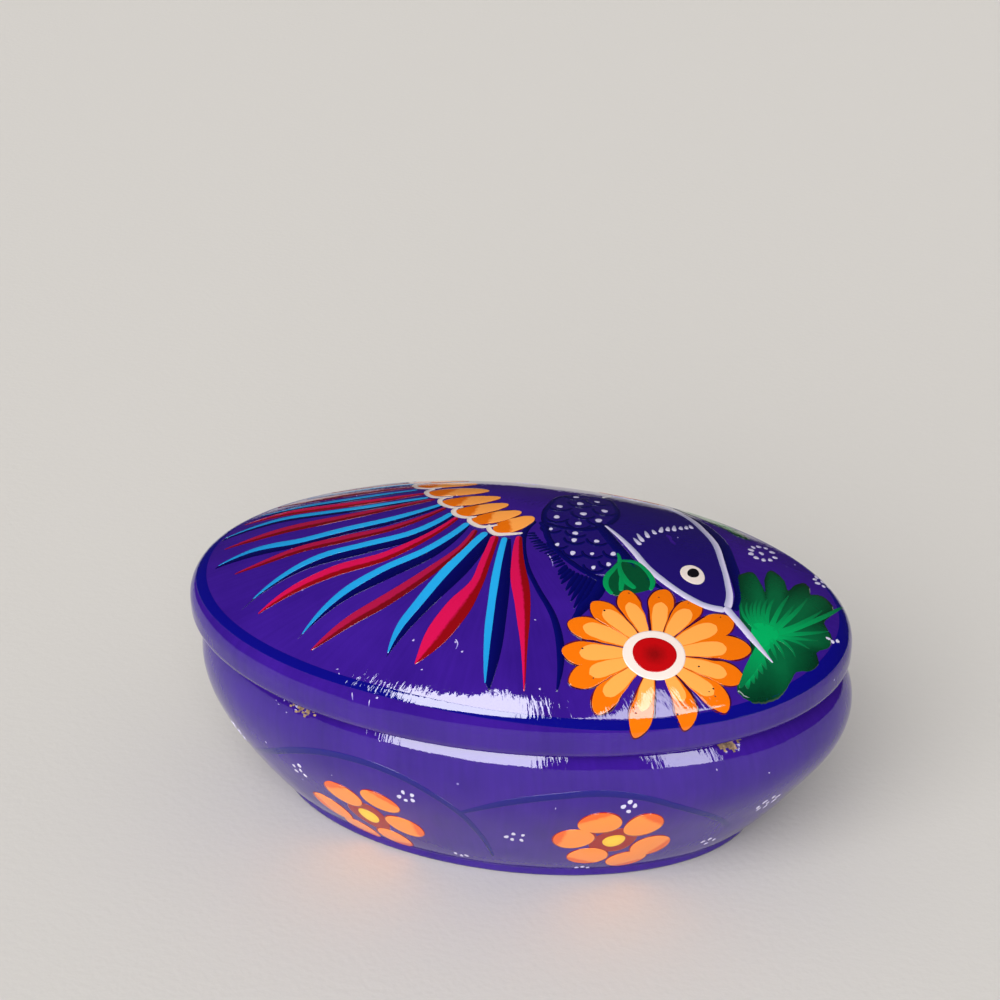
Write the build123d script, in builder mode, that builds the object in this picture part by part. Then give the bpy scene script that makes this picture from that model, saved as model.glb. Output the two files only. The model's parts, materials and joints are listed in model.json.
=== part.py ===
"""Oval lidded trinket box in painted low-fired clay: an open bowl and a domed lid that lifts off.

Both pieces are oval in plan. The bowl's walls are lofted through ovals, and the lid is turned as
a round profile over the long half axis and then narrowed across. A hollow is narrowed by its own
ratio, which keeps the wall as thick along the sides as at the ends. The lid carries a locating
ring that drops into the bowl's mouth with a loose clearance, and it rests on the bowl's rim.

Frame: millimetres, +Z up, origin at the centre of the flat base, +X along the long axis,
-Y the front side.
"""

import os
from math import cos, radians, sin

from build123d import *

# The overall oval, which is the lid's
length = 150.0
width = 98.0

# Outside of the bowl. An inset is taken from the overall oval, at its ends.
seam_height = 42.0  # the base up to the plane where bowl and lid meet
foot_inset = 19.0
foot_slimming = 0.06  # how much slimmer the foot's oval is than the rim's, as a share
foot_height = 2.2  # the low upright edge that the flank springs from
foot_round = 1.4
foot_flare = 40.0  # degrees between the table and the flank where it leaves the foot
flank_inset = 7.0
flank_height = 16.8
belly_inset = 0.6
belly_drop = 8.4  # the seam down to the widest part of the bowl
bowl_rim_inset = 4.2
bowl_rim_lean = 56.0  # degrees that the flank leans inward at the rim
bowl_rim_round = 1.0

# Inside of the bowl
bowl_wall = 5.0
floor_thickness = 5.0
floor_inset = 28.0  # where the flat of the inner floor ends
floor_rise = 17.0  # degrees that the inner wall rises where it leaves the floor
mouth_inset = 7.4
mouth_depth = 11.0  # how far down the mouth's wall stays upright
mouth_round = 0.8

# Outside of the lid
lid_side_height = 8.2  # the seam up to the line where side and crown would meet
crown_rise = 16.3
lip_round = 3.0  # the side's lower edge, which swells out over the seam
shoulder_round = 5.2

# Inside of the lid
crown_thickness = 5.0
lid_wall = 6.0
ring_root = 1.5  # the seam up to where the hollow starts to widen behind the ring
ceiling_round = 1.5  # where the wall runs into the crown

# Locating ring under the lid
ring_clearance = 0.8  # all round, between the ring and the bowl's mouth
ring_thickness = 3.4
ring_depth = 4.0
ring_round = 1.0

half_length = length / 2
half_width = width / 2
lid_side_top = seam_height + lid_side_height
lid_top = lid_side_top + crown_rise
ring_inset = mouth_inset + ring_clearance
ring_bore_inset = ring_inset + ring_thickness
ring_foot = seam_height - ring_depth
past = 2.0  # how far a space runs on past the face that it opens through
loft_steps = 8  # ovals from the foot of a wall to its top

crown_radius = (half_length**2 + crown_rise**2) / (2 * crown_rise)
crown_centre = lid_top - crown_radius
ceiling_radius = crown_radius - crown_thickness


def reach(inset):
    """The long half axis of the oval that is set in by this much."""
    return half_length - inset


def narrowing(inset):
    """Half width over half length for the oval that is set in by this much all round."""
    return (half_width - inset) / (half_length - inset)


def bowl_oval(point, wall_top, inset):
    """Both half axes of the bowl's oval at a point of a wall that ends at its top, set in so far."""
    slimming = 1 - foot_slimming * (1 - point.Y / wall_top.Y)
    return point.X, point.X * narrowing(inset) * slimming


def ceiling_height(radius):
    """The height of the crown's underside at this distance from the axis."""
    return crown_centre + (ceiling_radius**2 - radius**2) ** 0.5


# The flank of the bowl, from the foot out over the belly and in to the rim
with BuildLine() as flank:
    flank_curve = Spline(
        (reach(foot_inset), foot_height),
        (reach(flank_inset), flank_height),
        (reach(belly_inset), seam_height - belly_drop),
        (reach(bowl_rim_inset), seam_height),
        tangents=(
            (cos(radians(foot_flare)), sin(radians(foot_flare))),
            (-sin(radians(bowl_rim_lean)), cos(radians(bowl_rim_lean))),
        ),
    )

flank_top = flank_curve @ 1

# A point of the inner wall, one wall thickness inside the middle of the flank
flank_middle = flank_curve @ 0.5
flank_direction = flank_curve % 0.5
wall_middle = flank_middle + Vector(-flank_direction.Y, flank_direction.X) * bowl_wall

# The inner wall of the bowl, from the flat floor up to the upright mouth
with BuildLine() as inner_wall:
    inner_curve = Spline(
        (reach(floor_inset), floor_thickness),
        (wall_middle.X, wall_middle.Y),
        (reach(mouth_inset), seam_height - mouth_depth),
        tangents=((cos(radians(floor_rise)), sin(radians(floor_rise))), (0, 1)),
    )

inner_top = inner_curve @ 1

# The space inside the bowl, lofted through ovals up its wall and on through the mouth
with BuildPart() as bowl_space:
    for step in range(loft_steps + 1):
        spot = inner_curve @ (step / loft_steps)
        with BuildSketch(Plane.XY.offset(spot.Y)):
            Ellipse(*bowl_oval(spot, inner_top, mouth_inset))
    loft()
    with BuildSketch(Plane.XY.offset(inner_top.Y)):
        Ellipse(half_length - mouth_inset, half_width - mouth_inset)
    extrude(amount=mouth_depth + past)

# The bowl: lofted through ovals up its flank, with its foot and rim rounded, and hollowed
with BuildPart() as bowl:
    for step in range(loft_steps + 1):
        spot = flank_curve @ (step / loft_steps)
        with BuildSketch(Plane.XY.offset(spot.Y)):
            Ellipse(*bowl_oval(spot, flank_top, 0))
    loft()
    with BuildSketch():
        Ellipse(*bowl_oval(flank_curve @ 0, flank_top, 0))
    extrude(amount=foot_height)
    fillet(edges().group_by(Axis.Z)[0], foot_round)
    fillet(edges().group_by(Axis.Z)[-1], bowl_rim_round)
    add(bowl_space.part, mode=Mode.SUBTRACT)
    rim_face = faces().filter_by(GeomType.PLANE).sort_by(Axis.Z)[-1]
    mouth_edges = rim_face.inner_wires()[0].edges()
    fillet(mouth_edges, mouth_round)

# The space inside the lid: the ring's bore, widening behind it to the wall, under the crown
with BuildPart() as lid_space:
    with BuildSketch(Plane.XZ):
        with BuildLine():
            wall_reach = reach(lid_wall)
            ceiling = ThreePointArc(
                (0, lid_top - crown_thickness),
                (wall_reach / 2, ceiling_height(wall_reach / 2)),
                (wall_reach, ceiling_height(wall_reach)),
            )
            Polyline(
                ceiling @ 1,
                (reach(ring_bore_inset), seam_height + ring_root),
                (reach(ring_bore_inset), ring_foot - past),
                (0, ring_foot - past),
                ceiling @ 0,
            )
        make_face()
        fillet(vertices().sort_by(Axis.X)[-1], ceiling_round)
    revolve(axis=Axis.Z)
    scale(by=(1, narrowing(ring_bore_inset), 1))

# The locating ring, its lower edges rounded, up into the lid's side
with BuildPart() as ring:
    with BuildSketch(Plane.XY.offset(seam_height - ring_depth)):
        Ellipse(half_length - ring_inset, half_width - ring_inset)
        Ellipse(half_length - ring_bore_inset, half_width - ring_bore_inset, mode=Mode.SUBTRACT)
    extrude(amount=ring_depth + ring_root)
    fillet(edges().group_by(Axis.Z)[0], ring_round)

# The lid: an upright side with rounded edges under a low crown
with BuildPart() as lid:
    with BuildSketch(Plane.XZ):
        with BuildLine():
            crown = ThreePointArc(
                (0, lid_top),
                (half_length / 2, crown_centre + (crown_radius**2 - half_length**2 / 4) ** 0.5),
                (half_length, lid_side_top),
            )
            Polyline(
                crown @ 1,
                (half_length, seam_height),
                (0, seam_height),
                crown @ 0,
            )
        make_face()
        side_corners = vertices().group_by(Axis.X)[-1].sort_by(Axis.Y)
        fillet(side_corners[-1], shoulder_round)
        side_corners = vertices().sort_by(Axis.X)[-2:].sort_by(Axis.Y)
        fillet(side_corners[0], lip_round)
    revolve(axis=Axis.Z)
    scale(by=(1, narrowing(0), 1))
    add(lid_space.part, mode=Mode.SUBTRACT)
    add(ring.part)

os.makedirs("parts", exist_ok=True)

bowl.part.label = "bowl"
export_step(bowl.part, "parts/bowl.step")

lid.part.label = "lid"
export_step(lid.part, "parts/lid.step")
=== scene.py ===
"""Looks of the oval painted clay trinket box: the enamelled bowl and lid, and the brushwork on both.

Each clay piece is one closed shell, worked out from the same measures as the CAD solid it stands for. The
paint is laid on the shells in strokes, dots and petals. Every one of them is a thin closed body whose
underside is sunk in the shell and whose top stands 0.02 to 0.15 mm proud, as enamel does. The brushwork's
control points are few and given one by one.

Lengths are in millimetres here until a mesh is made. A place on the lid is (u, v): millimetres walked over
the crown from its centre, u to +X and v to +Y. A place on the bowl is (p, w): p round the belly from the
middle of the front, towards +X, and w down the flank from the rim.
"""

import json

import bpy
import numpy as np
from mathutils import Matrix, Vector

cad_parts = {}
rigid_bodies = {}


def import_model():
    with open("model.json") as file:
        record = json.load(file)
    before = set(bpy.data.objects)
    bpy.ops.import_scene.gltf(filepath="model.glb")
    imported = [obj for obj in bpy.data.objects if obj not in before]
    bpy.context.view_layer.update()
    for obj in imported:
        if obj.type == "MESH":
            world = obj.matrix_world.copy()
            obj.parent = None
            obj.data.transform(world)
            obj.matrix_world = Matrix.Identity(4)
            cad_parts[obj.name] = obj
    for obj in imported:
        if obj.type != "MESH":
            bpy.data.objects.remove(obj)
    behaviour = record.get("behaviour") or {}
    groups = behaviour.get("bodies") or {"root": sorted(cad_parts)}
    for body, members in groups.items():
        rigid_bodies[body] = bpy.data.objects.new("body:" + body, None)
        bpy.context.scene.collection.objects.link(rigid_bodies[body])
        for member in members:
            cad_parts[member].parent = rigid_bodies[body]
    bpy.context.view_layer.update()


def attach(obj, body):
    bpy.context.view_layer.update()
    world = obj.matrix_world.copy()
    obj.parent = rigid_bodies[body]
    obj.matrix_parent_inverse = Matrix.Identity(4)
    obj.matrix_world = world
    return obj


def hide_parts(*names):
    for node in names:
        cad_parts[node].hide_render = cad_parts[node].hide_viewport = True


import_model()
hand = np.random.default_rng(7)  # the painter's small unevenness, the same on every run

# Measures of the two clay pieces. A reach is a half length, and a pair is a half length and a half width
HALF_LENGTH = 75.0
HALF_WIDTH = 49.0
NARROWING = HALF_WIDTH / HALF_LENGTH
SEAM = 42.0
LID_TOP = 66.5
CROWN_RADIUS = 180.7
CROWN_CENTRE = LID_TOP - CROWN_RADIUS
CEILING_RADIUS = CROWN_RADIUS - 5.0
LIP_RADIUS = 3.0
CROWN_END = 73.91  # walked from the top centre to where the shoulder starts to bend
SHOULDER_END = 79.95
LIP_START = 81.77
LIP_END = LIP_START + LIP_RADIUS * np.pi / 2
RING = 66.8, 40.8
RING_BORE = 63.4, 37.4
RING_FOOT = 38.0
MOUTH = 67.6, 41.6
MOUTH_FOOT = 31.0
FLOOR_TOP = 5.0
FOOT_REACH = 56.0
FOOT_HEIGHT = 2.2
FLANK_POINTS = np.array([[FOOT_REACH, FOOT_HEIGHT], [68.0, 16.8], [74.4, 33.6], [70.0, SEAM]])
FOOT_FLARE = np.radians(40.0)  # between the table and the flank at the foot
RIM_LEAN = np.radians(58.0)  # inward, at the rim
FOOT_SLIMMING = 0.06  # how much slimmer the foot's oval is than the rim's, as a share
BELLY = 74.0, 47.9

SUNK = 0.12  # how far the underside of the paint lies in the shell
# Coats that come up more than once: how proud the paint stands at its edge, and how much more in its middle
FILM = 0.02, 0.01
UNDERCOAT = 0.03, 0.01
THIN_COAT = 0.04, 0.01
FLAT_COAT = 0.05, 0.01
COAT = 0.06, 0.02
RAISED_COAT = 0.08, 0.02
THICK_COAT = 0.08, 0.03

# Grain: a mean half axis, by which it is measured round the box, and where each surface's own starts
GRAIN_REACH = 62.0
BOWL_GRAIN = 90.0
LID_INNER_GRAIN = 150.0
UNDER_GRAIN = 160.0
BOWL_INNER_GRAIN = 250.0


# Skins: where a place on the lid or the bowl lies in space


def wobble(point):
    """Unevenness of the hand-smoothed clay: two crossed sine waves, dying out towards the seam."""
    x, y, z = np.moveaxis(point, -1, 0)
    waves = 0.10 * np.sin(x / 10.5 + 1.1 + 0.6 * np.sin(y / 17)) * np.sin(y / 9.0 + 0.4)
    waves = waves + 0.05 * np.sin(x / 5.1 + z / 6.0) * np.sin(y / 6.3 + z / 8.0 + 2.0)
    near_seam = np.clip((np.abs(z - SEAM) - 1.0) / 6.0, 0, 1)
    return waves * near_seam**2


def cubic(f, width, before, after, slope_before, slope_after):
    """The cubic from one value to the next over a span of the given width, with the given slopes at its two
    ends, read at the share f of the span."""
    ends = before * (2 * f**3 - 3 * f**2 + 1) + after * (3 * f**2 - 2 * f**3)
    return ends + width * (slope_before * (f**3 - 2 * f**2 + f) + slope_after * (f**3 - f**2))


def through(places, values, t):
    """The smooth curve that takes the given values at the given places, read at t: a cubic in each span,
    whose end slopes come from the spans on both sides, weighed by how short they are."""
    slopes = np.gradient(values, places, axis=0, edge_order=min(2, len(places) - 1))
    span = np.clip(np.searchsorted(places, t, side="right") - 1, 0, len(places) - 2)
    width = np.diff(places)[span][:, None]
    f = (t - places[span])[:, None] / width
    return cubic(f, width, values[span], values[span + 1], slopes[span], slopes[span + 1])


LID_WALK = np.linspace(0, LIP_END, 6001)
CROWN_SLOPE = CROWN_END / CROWN_RADIUS
LID_SLOPE = np.interp(
    LID_WALK,
    [0, CROWN_END, SHOULDER_END, LIP_START, LIP_END],
    [0, CROWN_SLOPE, np.pi / 2, np.pi / 2, np.pi],
)
LID_STEP = LID_WALK[1]
MID_SLOPE = (LID_SLOPE[1:] + LID_SLOPE[:-1]) / 2
LID_REACH = np.concatenate([[0], np.cumsum(np.cos(MID_SLOPE)) * LID_STEP])
LID_HEIGHT = LID_TOP - np.concatenate([[0], np.cumsum(np.sin(MID_SLOPE)) * LID_STEP])


def lid_skin(u, v, lift=0.0):
    """A point over the lid. The round profile's slope grows evenly along each of its arcs and its steps are
    added up; the round shape is then narrowed across, and the point is lifted along the outward normal."""
    across = v / NARROWING
    walk = np.maximum(np.hypot(u, across), 1e-6)
    reach = np.interp(walk, LID_WALK, LID_REACH)
    slope = np.interp(walk, LID_WALK, LID_SLOPE)
    height = np.interp(walk, LID_WALK, LID_HEIGHT)
    east = u / walk
    north = across / walk
    point = np.stack([reach * east, reach * north * NARROWING, height], -1)
    normal = np.stack([np.sin(slope) * east, np.sin(slope) * north / NARROWING, np.cos(slope)], -1)
    normal /= np.linalg.norm(normal, axis=-1, keepdims=True)
    grain = np.stack([GRAIN_REACH * east, GRAIN_REACH * north, walk], -1)
    return point + normal * (wobble(point) + lift)[..., None], grain


def flank_curve():
    """The bowl's flank from foot to rim: cubic spans through four points, their slopes chosen so that the
    bend runs on evenly from span to span, with the end slopes given. Returned from the rim down."""
    points = FLANK_POINTS
    spans = np.linalg.norm(np.diff(points, axis=0), axis=1)
    secants = np.diff(points, axis=0) / spans[:, None]
    slopes = np.zeros((4, 2))
    slopes[0] = np.cos(FOOT_FLARE), np.sin(FOOT_FLARE)
    slopes[3] = -np.sin(RIM_LEAN), np.cos(RIM_LEAN)
    even = np.array([[2 * (spans[0] + spans[1]), spans[0]], [spans[2], 2 * (spans[1] + spans[2])]])
    wanted = 3 * (spans[1:, None] * secants[:-1] + spans[:-1, None] * secants[1:])
    wanted[0] -= spans[1] * slopes[0]
    wanted[1] -= spans[1] * slopes[3]
    slopes[1:3] = np.linalg.solve(even, wanted)
    pieces = []
    for start in range(3):
        t = np.linspace(0, 1, 200, endpoint=start == 2)[:, None]
        pieces.append(cubic(t, spans[start], *points[start : start + 2], *slopes[start : start + 2]))
    return np.concatenate(pieces)[::-1]


def bend(before, corner, after, count):
    """A rounded corner: the quadratic curve from one point to the other that the corner pulls on."""
    t = np.linspace(0, 1, count)[:, None]
    pull = 2 * t * (1 - t) * np.asarray(corner)
    return (1 - t) ** 2 * np.asarray(before) + pull + t**2 * np.asarray(after)


# The flank's line with its rounded rim, and how far each of its points is walked down from the rim
FLANK = flank_curve()
RIM_BEND = bend([FLANK[0][0] - 1.0, SEAM], FLANK[0], FLANK[24], 30)
BOWL_LINE = np.concatenate([RIM_BEND[:-1], FLANK[24:]])
BOWL_WALK = np.concatenate([[0], np.cumsum(np.linalg.norm(np.diff(BOWL_LINE, axis=0), axis=1))])
BOWL_REACH, BOWL_HEIGHT = BOWL_LINE.T
BOWL_NARROWING = NARROWING * (1 - FOOT_SLIMMING * (1 - BOWL_HEIGHT / SEAM))
BOWL_ACROSS = BOWL_REACH * BOWL_NARROWING
BOWL_END = BOWL_WALK[-1]

# The way walked round the belly at each angle, from the middle of the front
ROUND_ANGLE = np.linspace(-np.pi, np.pi, 2881)
ROUND_STEP = ROUND_ANGLE[1] - ROUND_ANGLE[0]
BELLY_STEP = np.hypot(BELLY[0] * np.cos(ROUND_ANGLE), BELLY[1] * np.sin(ROUND_ANGLE)) * ROUND_STEP
ROUND_WALK = np.cumsum(BELLY_STEP) - BELLY_STEP[0]
BELLY_LENGTH = ROUND_WALK[-1]
ROUND_WALK = ROUND_WALK - BELLY_LENGTH / 2

# How far the hand-formed bowl's ovals lie off the middle towards +X, at the foot, flank, belly and rim
SIDEWAYS_AT = np.array([0.0, 16.0, 32.0, 42.0])
SIDEWAYS = np.array([[-0.6], [-0.2], [1.2], [0.7]])
BOWL_SIDEWAYS = through(SIDEWAYS_AT, SIDEWAYS, BOWL_HEIGHT)[:, 0]


def bowl_skin(p, w, lift=0.0):
    """A point on the flank. p is walked round the belly's oval, which gives the angle, and w is walked down
    the flank's line, which gives both half axes; the point is lifted along the outward normal, which comes
    from how the half axes and the height change 0.2 mm to both sides. As the bowl was formed by hand, its
    ovals lie a little to one side or the other of the middle, by their height."""
    p = (p + BELLY_LENGTH / 2) % BELLY_LENGTH - BELLY_LENGTH / 2
    w = np.clip(w, 0, BOWL_END)
    angle = np.interp(p, ROUND_WALK, ROUND_ANGLE)
    sine = np.sin(angle)
    cosine = np.cos(angle)
    lines = BOWL_REACH, BOWL_ACROSS, BOWL_HEIGHT
    reach, across, height = [np.interp(w, BOWL_WALK, line) for line in lines]
    reach_rate, across_rate, fall = [
        np.interp(w + 0.2, BOWL_WALK, line) - np.interp(w - 0.2, BOWL_WALK, line) for line in lines
    ]
    aside = np.interp(w, BOWL_WALK, BOWL_SIDEWAYS)
    point = np.stack([reach * sine + aside, -across * cosine, height], -1)
    normal = np.stack(
        [
            -across * fall * sine,
            reach * fall * cosine,
            reach * across_rate * cosine**2 + across * reach_rate * sine**2,
        ],
        -1,
    )
    normal /= np.linalg.norm(normal, axis=-1, keepdims=True)
    grain = np.stack([GRAIN_REACH * sine, GRAIN_REACH * cosine, w + BOWL_GRAIN], -1)
    return point + normal * (wobble(point) + lift)[..., None], grain


# Meshes


def closed_grid(points, grain, tone):
    """A grid whose rows are closed rings, made into a solid: each ring joined to the next by quads, and
    the first and last ring closed by a fan to their middle. Returns points, quads, fans, grain and tone."""
    rows, around = points.shape[:2]
    index = np.arange(rows * around).reshape(rows, around)
    ahead = np.roll(index, -1, axis=1)
    quads = np.stack([index[:-1], ahead[:-1], ahead[1:], index[1:]], -1).reshape(-1, 4)
    first, last = rows * around, rows * around + 1
    fan_in = np.stack([ahead[0], index[0], np.full(around, first)], -1)
    fan_out = np.stack([index[-1], ahead[-1], np.full(around, last)], -1)
    spots = np.concatenate([points.reshape(-1, 3), points[:1].mean(1), points[-1:].mean(1)])
    grains = np.concatenate([grain.reshape(-1, 3), grain[:1].mean(1), grain[-1:].mean(1)])
    tones = np.concatenate([tone.reshape(-1), tone[:1].mean(1), tone[-1:].mean(1)])
    return spots, quads, np.concatenate([fan_in, fan_out]), grains, tones


def make_piece(name, bodies, rides_on, materials, bare=None):
    """Joins the bodies into one mesh in metres and turns each outward where its enclosed volume comes out
    negative. Grain (round and down the skin) and tone (dark to light paint) are kept at every vertex. Faces
    whose middles are bare by the given rule get the second material."""
    spots, quads, fans, grains, tones = [], [], [], [], []
    count = 0
    for points, four, three, grain, tone in bodies:
        middle = points.mean(0)
        corners = points[three] - middle
        volume = np.einsum("ij,ij->", corners[:, 0], np.cross(corners[:, 1], corners[:, 2]))
        corners = points[four] - middle
        volume += np.einsum("ij,ij->", corners[:, 0], np.cross(corners[:, 1], corners[:, 2]))
        volume += np.einsum("ij,ij->", corners[:, 0], np.cross(corners[:, 2], corners[:, 3]))
        if volume < 0:
            four, three = four[:, ::-1], three[:, ::-1]
        spots.append(points)
        quads.append(four + count)
        fans.append(three + count)
        grains.append(grain)
        tones.append(tone)
        count += len(points)
    spots, grains, tones = np.concatenate(spots), np.concatenate(grains), np.concatenate(tones)
    mesh = bpy.data.meshes.new(name)
    faces = np.concatenate(quads).tolist() + np.concatenate(fans).tolist()
    mesh.from_pydata((spots * 0.001).tolist(), [], faces)
    mesh.attributes.new("grain", "FLOAT_VECTOR", "POINT").data.foreach_set("vector", grains.ravel())
    mesh.attributes.new("tone", "FLOAT", "POINT").data.foreach_set("value", tones)
    for material in materials:
        mesh.materials.append(material)
    mesh.polygons.foreach_set("use_smooth", np.ones(len(mesh.polygons), bool))
    if bare is not None:
        centres = np.zeros(len(mesh.polygons) * 3)
        mesh.polygons.foreach_get("center", centres)
        mesh.polygons.foreach_set("material_index", bare(centres.reshape(-1, 3) * 1000).astype(np.int32))
    mesh.validate()
    obj = bpy.data.objects.new(name, mesh)
    bpy.context.scene.collection.objects.link(obj)
    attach(obj, rides_on)
    return obj


def smooth_line(points, t):
    """A smooth line through a few points, read at the shares t of its length."""
    points = np.asarray(points, float)
    spans = np.linalg.norm(np.diff(points, axis=0), axis=1)
    return through(np.concatenate([[0], np.cumsum(spans)]) / spans.sum(), points, t)


def eased(values, t):
    """A few values spread evenly along a stroke, eased into each other and read at the shares t."""
    values = np.atleast_1d(np.asarray(values, float))
    values = np.repeat(values, 2) if len(values) == 1 else values
    return through(np.linspace(0, 1, len(values)), values[:, None], t)[:, 0]


def two_sided(t, q):
    """Paint that is dark on the left and light on the right, as a double-loaded brush leaves it."""
    return 0.5 - 0.5 * q


def pale_root(t, q):
    """Paint that runs from light at the root to dark at the tip."""
    return 1 - t + 0 * q


def ribbon(skin, left, right, lift=0.05, bead=0.015, tone=two_sided, across=7):
    """A band of paint between two lines of places on the skin. q runs from -1 on the right line to 1 on the
    left. The top bulges as one minus q squared, the sides drop straight down and the underside is sunk."""
    top = np.concatenate([[-1], np.linspace(-0.95, 0.95, across - 2), [1]])
    q = np.concatenate([[-1], top, [1]])
    height = np.concatenate([[-SUNK], lift + bead * (1 - top**2), [-SUNK]])
    height = height[None, :] * np.ones((len(left), 1))
    place = (left[:, None, :] * (1 + q)[:, None] + right[:, None, :] * (1 - q)[:, None]) / 2
    spots, grain = skin(place[..., 0], place[..., 1], height)
    t = np.linspace(0, 1, len(left))[:, None]
    return closed_grid(spots, grain, tone(t, q[None, :]) * np.ones_like(height))


def stroke(skin, points, widths, lift=0.05, bead=0.015, tone=two_sided, steps=30, across=7):
    """One brush stroke: a smooth line on the skin, widened to both sides by half its width, which is eased
    between a few given widths, wavers by two sine waves and is rounded off at both ends as a circle is. It
    stays at least 0.04 mm wide to each side."""
    t = (1 - np.cos(np.pi * np.linspace(0, 1, steps))) / 2
    line = smooth_line(points, t)
    step = np.gradient(line, axis=0)
    step /= np.linalg.norm(step, axis=1, keepdims=True)
    side = np.stack([-step[:, 1], step[:, 0]], -1)
    phase = hand.uniform(0, 6.3, 2)
    waver = 1 + 0.03 * np.sin(9 * t + phase[0]) + 0.02 * np.sin(23 * t + phase[1])
    half = np.maximum(eased(widths, t) / 2 * waver, 0.05)
    walked = np.concatenate([[0], np.cumsum(np.linalg.norm(np.diff(line, axis=0), axis=1))])
    room = np.minimum(walked, walked[-1] - walked)
    half = np.sqrt(np.maximum(half**2 - np.clip(half - room, 0, None) ** 2, 0.04**2))
    edge = side * half[:, None]
    return ribbon(skin, line + edge, line - edge, lift, bead, lambda s, q: tone(t[:, None], q), across)


def short_strokes(lines, widths, lift, bead, steps, across=5):
    """Strokes of one kind on the lid, each light at its root and dark at its tip."""
    return [stroke(lid_skin, line, widths, lift, bead, pale_root, steps, across) for line in lines]


def patch(skin, centre, outline, lift=0.05, bead=0.015, tone=0.5, rings=4):
    """A patch of paint inside a closed outline that can be seen whole from its centre: rings at growing
    shares of the way out to the outline, with a domed top, straight sides and a sunk underside."""
    share = np.concatenate([np.linspace(0.12, 0.96, rings - 1), [1.0, 1.0, 0.55]])
    proud = np.concatenate([np.ones(rings), [0, 0]])
    height = proud * (lift + bead * (1 - share**2)) - SUNK * (1 - proud)
    place = np.asarray(centre) + share[:, None, None] * (outline - np.asarray(centre))
    spots, grain = skin(place[..., 0], place[..., 1], height[:, None] * np.ones((1, len(outline))))
    angle = np.linspace(0, 2 * np.pi, len(outline), endpoint=False)
    tones = tone if np.isscalar(tone) else tone(share[:, None], angle[None, :])
    return closed_grid(spots, grain, tones * np.ones(place.shape[:2]))


def oval(centre, radii, turn=0.0, around=28, uneven=0.03):
    """The outline of a round or oval dab, its two radii turned by so many degrees and a little uneven."""
    angle = np.linspace(0, 2 * np.pi, around, endpoint=False)
    phase = hand.uniform(0, 6.3, 2)
    edge = 1 + uneven * np.sin(2 * angle + phase[0]) + uneven * np.sin(3 * angle + phase[1])
    x, y = radii[0] * np.cos(angle) * edge, radii[1] * np.sin(angle) * edge
    cosine = np.cos(np.radians(turn))
    sine = np.sin(np.radians(turn))
    return np.asarray(centre) + np.stack([x * cosine - y * sine, x * sine + y * cosine], -1)


def dab(skin, centre, radii, turn=0.0, lift=0.05, bead=0.02, tone=0.5, around=28, uneven=0.03, rings=4):
    """One round or oval dab of paint."""
    return patch(skin, centre, oval(centre, radii, turn, around, uneven), lift, bead, tone, rings)


# Materials


def linear(code):
    """An sRGB hex colour as linear RGBA."""
    part = np.array([int(code[i : i + 2], 16) for i in (1, 3, 5)]) / 255
    part = np.where(part <= 0.04045, part / 12.92, ((part + 0.055) / 1.055) ** 2.4)
    return (*part, 1.0)


def add(tree, kind, settings=None, **links):
    """Adds a node. Settings name its properties or its input sockets. A link names an input, with its
    spaces as underscores, or as i and its number, and gives the output that feeds it."""
    node = tree.nodes.new(kind)
    for key, value in (settings or {}).items():
        if isinstance(key, str) and hasattr(node, key):
            setattr(node, key, value)
        else:
            node.inputs[key].default_value = value
    for key, source in links.items():
        numbered = key[0] == "i" and key[1:].isdigit()
        tree.links.new(source, node.inputs[int(key[1:]) if numbered else key.replace("_", " ")])
    return node


def new_material(name):
    """A material with an empty node tree, and that tree."""
    material = bpy.data.materials.new(name)
    material.use_nodes = True
    material.node_tree.nodes.clear()
    return material, material.node_tree


def mixed(tree, share, dark, light):
    """A colour between two hex colours, by a share from 0 to 1."""
    settings = {"data_type": "RGBA", 6: linear(dark), 7: linear(light)}
    return add(tree, "ShaderNodeMix", settings, i0=share).outputs[2]


def object_place(tree):
    """Where each point lies on the object, in metres."""
    return add(tree, "ShaderNodeTexCoord").outputs["Object"]


def drawn_out(tree, apart, long):
    """A place for noise in brush marks: so many millimetres apart round the box, and so long down it."""
    grain = add(tree, "ShaderNodeAttribute", {"attribute_name": "grain"}).outputs["Vector"]
    settings = {"Scale": (1 / apart, 1 / apart, 1 / long)}
    return add(tree, "ShaderNodeMapping", settings, Vector=grain).outputs[0]


def noise(tree, scale, detail, place, rough=0.5):
    """Cloudy noise from 0 to 1, so many lumps to the unit of its place."""
    settings = {"Scale": scale, "Detail": detail, "Roughness": rough}
    return add(tree, "ShaderNodeTexNoise", settings, Vector=place).outputs["Fac"]


def spread(tree, value, low, high):
    """A value spread out so that low becomes 0 and high becomes 1, and held between them."""
    return add(tree, "ShaderNodeMapRange", {"From Min": low, "From Max": high}, Value=value).outputs[0]


def raised(tree, strength, distance, height, **below):
    """The surface's slope where a height from 0 to 1 stands for so many metres."""
    settings = {"Strength": strength, "Distance": distance}
    return add(tree, "ShaderNodeBump", settings, Height=height, **below).outputs[0]


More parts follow.
